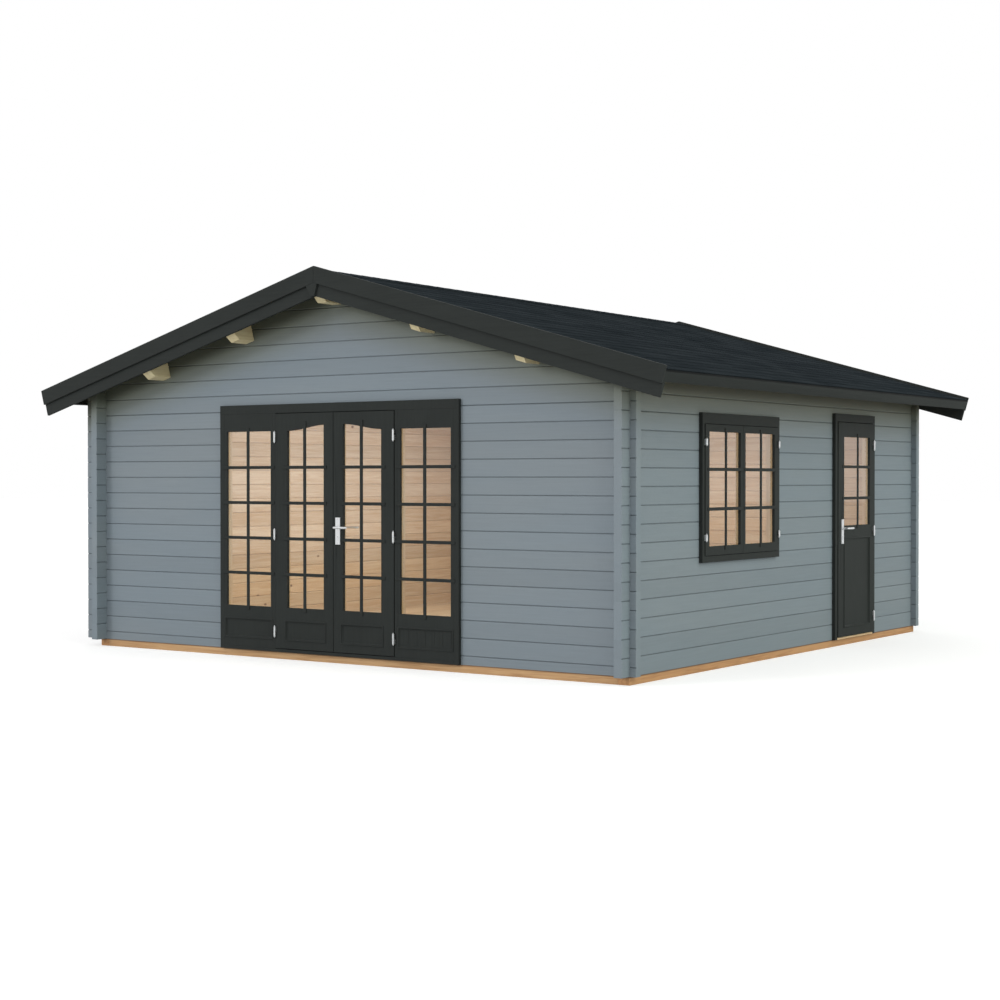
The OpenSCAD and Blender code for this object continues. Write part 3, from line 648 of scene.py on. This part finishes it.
# Material and easing radius of each CAD node that is shown as an eased copy, by slot.
COPIES = {
    "wall_paint": {
        (LOGS_X, EASE_FINE): ["front_wall_left", "front_wall_right", "front_gable", "back_wall"],
        (LOGS_Y, EASE_FINE): ["left_wall", "right_wall_front", "right_wall_back", "right_wall_top"],
    },
    "natural_timber": {
        (BEAM_X, EASE_BEAM): ["sill_beams_ends"],
        (BEAM_Y, EASE_BEAM): ["sill_beams_sides", "floor_joists"],
        (PINE_Y, EASE): ["ridge_purlin", "side_purlins"],
    },
    "trim_paint": {
        (CHARCOAL_X, EASE): ["front_bargeboards", "back_bargeboards", "lower_bargeboards"],
        (EAVES, EASE): ["eaves_boards"],
        (JOINERY_FRONT, EASE_FINE): ["side_lights", "front_leaf_left", "front_leaf_right"],
        (JOINERY_SIDE, EASE_FINE): ["window_sashes", "side_leaf"],
        (FRAME_FRONT, EASE_FINE): ["front_door_posts", "front_door_head"],
        (FRAME_SIDE, EASE_FINE): ["window_frame", "side_door_jambs", "side_door_head"],
        (THRESHOLDS, EASE): ["thresholds"],
    },
    "hardware": {
        (SATIN, 0.0): ["frame_hinge_halves", "left_leaf_hinge_halves", "right_leaf_hinge_halves",
                       "side_leaf_hinge_halves", "front_handle_plates", "side_handle_plates",
                       "front_lever", "side_lever"],
    },
}
GLASS_NODES = ["front_leaf_glass_left", "front_leaf_glass_right", "fixed_glass", "side_leaf_glass"]


def show_cad_nodes():
    """Eased copies stand for most CAD nodes. The glass shows as it is."""
    for slot, looks in COPIES.items():
        for (material, ease), nodes in looks.items():
            for node in nodes:
                piece(node + "_eased", welded(node), material, BODY_OF[node], [node], ease)
    for node in GLASS_NODES:
        frame["nodes"][node].material_slots[0].material = CLEAR


# ================================================================ roof and floor
def roof_boards(side, node):
    """Tongued boards from ridge to eave, eased so that their joints show from below. Their
    upper ends stop on the upright plane where the two slopes meet."""
    bm = new_mesh()
    width, tilt = 2 * ROOF_END / DECK_BOARDS, math.tan(PITCH)
    for i in range(DECK_BOARDS):
        y = (-ROOF_END + i * width, -ROOF_END + (i + 1) * width)
        corners = [on_slope(side, DECK_U if at_eave else n * tilt, v, n)
                   for at_eave in (False, True) for v in y for n in DECK_N]
        add_block(bm, corners, rng.random())
    piece(node + "_boards", bm, PINE_DOWN_SLOPE, "cabin", [node], EASE_BEAM)


def shingles(side, node):
    """Courses of tabs over a thin underlay. Each tab's lower edge rides on the course below."""
    exposed, lap, tab, slot, thick = 0.143, 0.022, 0.2895, 0.006, 0.0032
    underlay, least_width = 0.002, 0.02
    top = SHINGLE_N[0] + 0.0004
    tilt = thick / exposed
    bm = new_mesh()
    sheet = [on_slope(side, u, y, n) for u in (UNDER_RIDGE, SHINGLE_U - underlay)
             for y in (-ROOF_END, ROOF_END) for n in (SHINGLE_N[1] - underlay, SHINGLE_N[1])]
    add_block(bm, sheet, 0.1)
    courses = int(SHINGLE_U / exposed)
    for k in range(courses + 1):
        low = SHINGLE_U - k * exposed
        high = max(UNDER_RIDGE, low - exposed - lap)
        shift = (k % 2) * tab / 2
        tabs = math.ceil(2 * ROOF_END / tab) + 1
        for j in range(tabs):
            y0 = max(-ROOF_END, -ROOF_END + j * tab - shift + slot / 2)
            y1 = min(ROOF_END, -ROOF_END + (j + 1) * tab - shift - slot / 2)
            if y1 - y0 < least_width:
                continue
            lift = rng.uniform(0.0, 0.0005)
            edge = low - rng.uniform(0.0, 0.0015)
            corners = [on_slope(side, u, y, top + lift + (low - u) * tilt + depth)
                       for u in (high, edge) for y in (y0, y1) for depth in (0.0, thick)]
            add_block(bm, corners, rng.random())
    piece(node + "_tabs", bm, FELT_TABS, "cabin", [node], EASE_TAB)


def ridge_caps():
    """Short folded caps along the ridge, each lapping the next."""
    length, pitch, thick, width, outer, sink = 0.165, 0.143, 0.0022, 0.150, 0.0162, 0.0016
    tilt = math.tan(PITCH)
    bm = new_mesh()
    count = int(2 * ROOF_END / pitch)
    for i in range(count + 1):
        y0 = -ROOF_END + i * pitch
        y1 = min(ROOF_END, y0 + length)
        tone = rng.random()
        for side in (-1, 1):
            corners = []
            for flat in (True, False):
                for y, drop in ((y0, 0.0), (y1, sink)):
                    for n in (outer + drop, outer + drop + thick):
                        corners.append(on_slope(side, n * tilt if flat else width, y, n))
            add_block(bm, corners, tone)
    piece("ridge_caps", bm, FELT_TABS, "cabin", ["ridge_strip_cap"], EASE_CAP)


def floor_boards():
    """Tongued floor boards along the room."""
    low, high = FLOOR
    bm = new_mesh()
    width = (high.x - low.x) / FLOOR_BOARDS
    for i in range(FLOOR_BOARDS):
        x = low.x + i * width
        add_box(bm, (x, low.y, low.z), (x + width, high.y, high.z), rng.random())
    piece("floor_boards", bm, PINE_FLOOR, "cabin", ["floor"], EASE_FINE)


def apex_plates():
    """The tapered cover over the joint of the lower boards, at front and back."""
    upper_board = 0.126
    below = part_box("front_bargeboards")[1].z - upper_board / math.cos(PITCH)
    left, right, fall = 0.075, 0.034, math.tan(PITCH)
    outline = [(-0.030, below - 0.103), (0.010, below - 0.099), (right, below - right * fall),
               (0.0, below), (-left, below - left * fall)]
    back, front = ROOF_END - 0.001, ROOF_END + 0.0195
    for name, sign in (("apex_plate_front", -1), ("apex_plate_back", 1)):
        bm = new_mesh()
        add_outline(bm, lambda a, z, out: Vector((a, sign * out, z)), outline, back, front)
        piece(name, bm, CHARCOAL_Z, "cabin", (), EASE)


# ================================================================ glazing bars and mouldings
def lattice(name, body, place, across, up, out, rails, over=(RUN_ON, RUN_ON)):
    """Planted glazing bars over one glass: an upright in the middle and level rails whose
    ends run onto the stiles."""
    upright, level, rise, upright_out, level_out = 0.028, 0.025, 0.030, 0.009, 0.0078
    mid = (across[0] + across[1]) / 2
    bm = new_mesh()
    add_strip(bm, place, (mid - upright / 2, mid + upright / 2), (up[0] - rise, up[1] + rise),
              (out - SUNK, out + upright_out))
    for z in rails:
        add_strip(bm, place, (across[0] - over[0], across[1] + over[1]),
                  (z - level / 2, z + level / 2), (out - SUNK, out + level_out))
    made = piece(name, bm, CHARCOAL_Z, body, (), EASE_BAR)
    made.visible_glossy = False  # no second image of the bars in the glass


def panel_moulding(name, body, place, across, up, out, boards=0):
    """A moulded edge planted round a recessed panel, with that many boards in the panel."""
    bed = -RECESS - 0.001
    bead = [(-0.004, -0.001), (-0.004, 0.0035), (-0.001, 0.0052), (0.004, 0.0050), (0.007, 0.0030),
            (0.009, -0.0030), (0.015, -0.0050), (0.017, -0.0072), (0.017, bed), (0.001, bed),
            (0.001, -0.001)]
    bm = new_mesh()
    add_mitred(bm, place, across, up, [(inset, out + depth) for inset, depth in bead])
    if boards:
        edge, gap, face = 0.017, 0.0008, -RECESS + 0.002
        step = (across[1] - across[0] - 2 * edge) / boards
        for i in range(boards):
            a = across[0] + edge + i * step
            add_strip(bm, place, (a + gap, a + step - gap), (up[0] + edge, up[1] - edge),
                      (out + bed, out + face))
    piece(name, bm, CHARCOAL_Z, body)


def ranges(box, axis):
    """(across, up) ranges of a box whose across direction is that axis."""
    return (box[0][axis], box[1][axis]), (box[0].z, box[1].z)


def front_glazing():
    """Bars and kick mouldings of the two leaves and the two side lights."""
    leaves = {"left": "front_left_door", "right": "front_right_door"}
    for hand, body in leaves.items():
        across, up = ranges(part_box("front_leaf_glass_" + hand), 0)
        lattice("bars_leaf_" + hand, body, on_front, across, up, LEAF_OUT, FRONT_BARS,
                RUN_ON_MEETING[hand])
        wide = (across[0] - KICK_WIDER, across[1] + KICK_WIDER)
        panel_moulding("kick_moulding_leaf_" + hand, body, on_front, wide, KICK_Z, LEAF_OUT)
    for hand, pane in zip(("left", "right"), LIGHT_PANES):
        across, up = ranges(pane, 0)
        lattice("bars_light_" + hand, "cabin", on_front, across, up, LIGHT_OUT, FRONT_BARS)
        wide = (across[0] - KICK_WIDER, across[1] + KICK_WIDER)
        boards = LIGHT_BOARDS if hand == "right" else 0
        panel_moulding("kick_moulding_light_" + hand, "cabin", on_front, wide, KICK_Z, LIGHT_OUT,
                       boards)


def side_glazing():
    """Bars and panel of the side door, and the window's bars."""
    across, up = ranges(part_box("side_leaf_glass"), 1)
    lattice("bars_side_door", "side_door", on_side, across, up, SIDE_OUT, SIDE_DOOR_BARS)
    panel_moulding("side_panel_moulding", "side_door", on_side, across, SIDE_PANEL_Z, SIDE_OUT)
    for hand, pane in zip(("front", "back"), WINDOW_PANES):
        across, up = ranges(pane, 1)
        lattice("bars_window_" + hand, "cabin", on_side, across, up, SIDE_OUT, WINDOW_BARS,
                (RUN_ON_SASH, RUN_ON_SASH))


# ================================================================ fittings
def hinge_barrels():
    """(x, y, lowest, highest) of each whole barrel, from the halves that share it."""
    nodes = ("frame_hinge_halves", "left_leaf_hinge_halves", "right_leaf_hinge_halves",
             "side_leaf_hinge_halves")
    barrels = {}
    for low, high in [half for node in nodes for half in solids(node)]:
        centre = middle((low, high))
        if low.y < FLOOR[0].y:
            radius = (high.x - low.x) / 2
            axis = (centre.x, low.y + radius)
        else:
            radius = (high.y - low.y) / 2
            axis = (high.x - radius, centre.y)
        key = (round(axis[0], 2), round(axis[1], 2), round(centre.z / HINGE_SPACING))
        old = barrels.get(key, (*axis, low.z, high.z))
        barrels[key] = (*axis, min(old[2], low.z), max(old[3], high.z))
    return list(barrels.values())


def hinge_finials():
    """Ball ends on the hinge pins."""
    profile = [(-0.0006, 0.0045), (0.0006, 0.0042), (0.0014, 0.0030), (0.0030, 0.0046),
               (0.0052, 0.0050), (0.0074, 0.0038), (0.0084, 0.0014)]
    bm = new_mesh()
    for x, y, low, high in hinge_barrels():
        add_turned(bm, (x, y, low), (0, 0, -1), profile)
        add_turned(bm, (x, y, high), (0, 0, 1), profile)
    piece("hinge_finials", bm, SATIN, "cabin")


def key_outline(z):
    """The outline of a lock cylinder: a round head over a narrower foot."""
    radius, half, foot = 0.0085, 0.005, 0.0245
    start = math.acos(half / radius)
    steps = 14
    arc = [-start + (math.pi + 2 * start) * i / steps for i in range(steps + 1)]
    head = [(radius * math.cos(t), z + radius * math.sin(t)) for t in arc]
    return head + [(-half, z - foot), (half, z - foot)]


def plate_fittings(hand, node, body, place):
    """Screws, lever collars and lock cylinder on both faces of a door's plates, with dark
    pieces of painted shade for the screw slots and keyhole.
    """
    from_end, screw_head, collar_out, lock_drop, lock_out = 0.012, 0.0016, 0.0032, 0.072, 0.0024
    slot, slot_out = (0.0022, 0.0004), (0.0010, 0.00172)
    keyhole, keyhole_out = 0.0011, 0.0026
    dome = [(-SUNK, 0.0042), (0.0004, 0.0042), (0.0013, 0.0030), (screw_head, 0.0012)]
    ring = [(-SUNK, 0.0130), (0.0020, 0.0130), (collar_out, 0.0118), (collar_out, COLLAR_BORE),
            (-SUNK, COLLAR_BORE)]
    low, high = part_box(node)
    axis = 0 if place is on_front else 1
    centre = middle((low, high))[axis]
    spindle = LEVER_Z[hand]
    faces = (-low.y, -high.y) if place is on_front else (high.x, low.x)
    metal_bm, shade_bm = new_mesh(), new_mesh()
    for face, sign in zip(faces, (1, -1)):
        outward = place(0, 0, sign) - place(0, 0, 0)
        for z in (low.z + from_end, high.z - from_end):
            add_turned(metal_bm, place(centre, z, face), outward, dome, 18)
            # dark strips of painted shade stand for the cross slot in each screw head
            for a, b in (slot, slot[::-1]):
                add_strip(shade_bm, place, (centre - a, centre + a), (z - b, z + b),
                          (face + sign * slot_out[0], face + sign * slot_out[1]))
        add_turned(metal_bm, place(centre, spindle, face), outward, ring, 32, closed=True)
        outline = [(centre + a, z) for a, z in key_outline(spindle - lock_drop)]
        add_outline(metal_bm, place, outline, face - sign * SUNK, face + sign * lock_out)
        # a dark strip of painted shade stands for the keyhole
        add_strip(shade_bm, place, (centre - keyhole, centre + keyhole),
                  (spindle - 0.077, spindle - 0.067), (face, face + sign * keyhole_out))
    piece(hand + "_plate_fittings", metal_bm, SATIN, body)
    piece(hand + "_plate_slot_shade", shade_bm, PAINTED_HOLE_SHADE, body)


def fittings():
    hinge_finials()
    plate_fittings("front", "front_handle_plates", "front_right_door", on_front)
    plate_fittings("side", "side_handle_plates", "side_door", on_side)


# ================================================================ camera, light and floor
def camera():
    data = bpy.data.cameras.new("camera")
    data.lens, data.sensor_width, data.clip_end = CAMERA_LENS, 36.0, 200.0
    view = bpy.data.objects.new("camera", data)
    view.location = CAMERA_PLACE
    view.rotation_euler = [math.radians(angle) for angle in CAMERA_TURN]
    bpy.context.collection.objects.link(view)
    bpy.context.scene.camera = view


def sun(name, travel, strength, softness, colour):
    """A distant lamp, kept out of the reflections."""
    data = bpy.data.lights.new(name, "SUN")
    data.energy, data.angle, data.color = strength, math.radians(softness), colour
    lamp = bpy.data.objects.new(name, data)
    lamp.rotation_euler = Vector(travel).to_track_quat("-Z", "Y").to_euler()
    lamp.visible_glossy = False
    bpy.context.collection.objects.link(lamp)


def room_lamp(name, place, upwards, colour):
    """A wide soft lamp inside the room, unseen itself."""
    data = bpy.data.lights.new(name, "AREA")
    data.shape, data.size = "SQUARE", ROOM_LAMP_SIZE
    data.energy, data.color = ROOM_WATTS, colour
    lamp = bpy.data.objects.new(name, data)
    lamp.location = place
    lamp.rotation_euler.x = math.pi if upwards else 0.0
    lamp.visible_camera = lamp.visible_glossy = False
    bpy.context.collection.objects.link(lamp)


def by_ray(tree, socket, plain, strength, kinds):
    """Feeds a strength to those kinds of ray, and the plain one to all the others."""
    rays = tree.nodes.new("ShaderNodeLightPath")
    seen = rays.outputs[kinds[0]]
    for name in kinds[1:]:
        either = tree.nodes.new("ShaderNodeMath")
        either.operation = "MAXIMUM"
        tree.links.new(seen, either.inputs[0])
        tree.links.new(rays.outputs[name], either.inputs[1])
        seen = either.outputs[0]
    blend = tree.nodes.new("ShaderNodeMapRange")
    blend.inputs["To Min"].default_value = plain
    blend.inputs["To Max"].default_value = strength
    tree.links.new(seen, blend.inputs["Value"])
    tree.links.new(blend.outputs[0], socket)


def world():
    """White to the eye and in reflections, and dimmer as a source of light."""
    made = bpy.data.worlds.new("studio")
    made.use_nodes = True
    background = made.node_tree.nodes["Background"]
    background.inputs["Color"].default_value = (1.0, 1.0, 1.0, 1.0)
    kinds = ("Is Camera Ray", "Is Transmission Ray", "Is Glossy Ray")
    by_ray(made.node_tree, background.inputs["Strength"], AMBIENT, 1.0, kinds)
    bpy.context.scene.world = made
    bpy.context.scene.view_settings.view_transform = "Standard"


def floor():
    """A plain pale floor that keeps the cabin's shadow and whitens towards the eye."""
    reach = 90.0
    bm = new_mesh()
    corners = ((-reach, -reach), (reach, -reach), (reach, reach), (-reach, reach))
    add_faces(bm, [bm.verts.new((x, y, cad_box[0].z)) for x, y in corners], [(0, 1, 2, 3)])
    mesh = bpy.data.meshes.new("studio_floor")
    bm.to_mesh(mesh)
    bm.free()
    made = bpy.data.objects.new("studio_floor", mesh)
    bpy.context.collection.objects.link(made)
    g = Graph("studio_floor")
    pale = g.add("BsdfDiffuse", {"Color": (FLOOR_ALBEDO, FLOOR_ALBEDO, FLOOR_ALBEDO, 1.0)})
    glow = g.add("Emission")
    kinds = ("Is Camera Ray", "Is Transmission Ray")
    by_ray(g.tree, glow.inputs["Strength"], 0.0, FLOOR_GLOW, kinds)
    both = g.add("AddShader", {0: pale, 1: glow})
    g.add("OutputMaterial", {"Surface": both})
    mesh.materials.append(g.material)


def lights():
    for name, settings in SUNS.items():
        sun(name, *settings)
    centre = middle(FLOOR)
    x, y = centre.x + ROOM_LAMP_SHIFT[0], centre.y + ROOM_LAMP_SHIFT[1]
    for name, (z, upwards, colour) in ROOM_LAMPS.items():
        room_lamp(name, (x, y, z), upwards, colour)


# ================================================================ the scene
show_cad_nodes()
for hand, way in (("left", -1), ("right", 1)):
    roof_boards(way, "roof_deck_" + hand)
    shingles(way, "roof_shingles_" + hand)
ridge_caps()
floor_boards()
apex_plates()
front_glazing()
side_glazing()
fittings()
camera()
world()
floor()
lights()
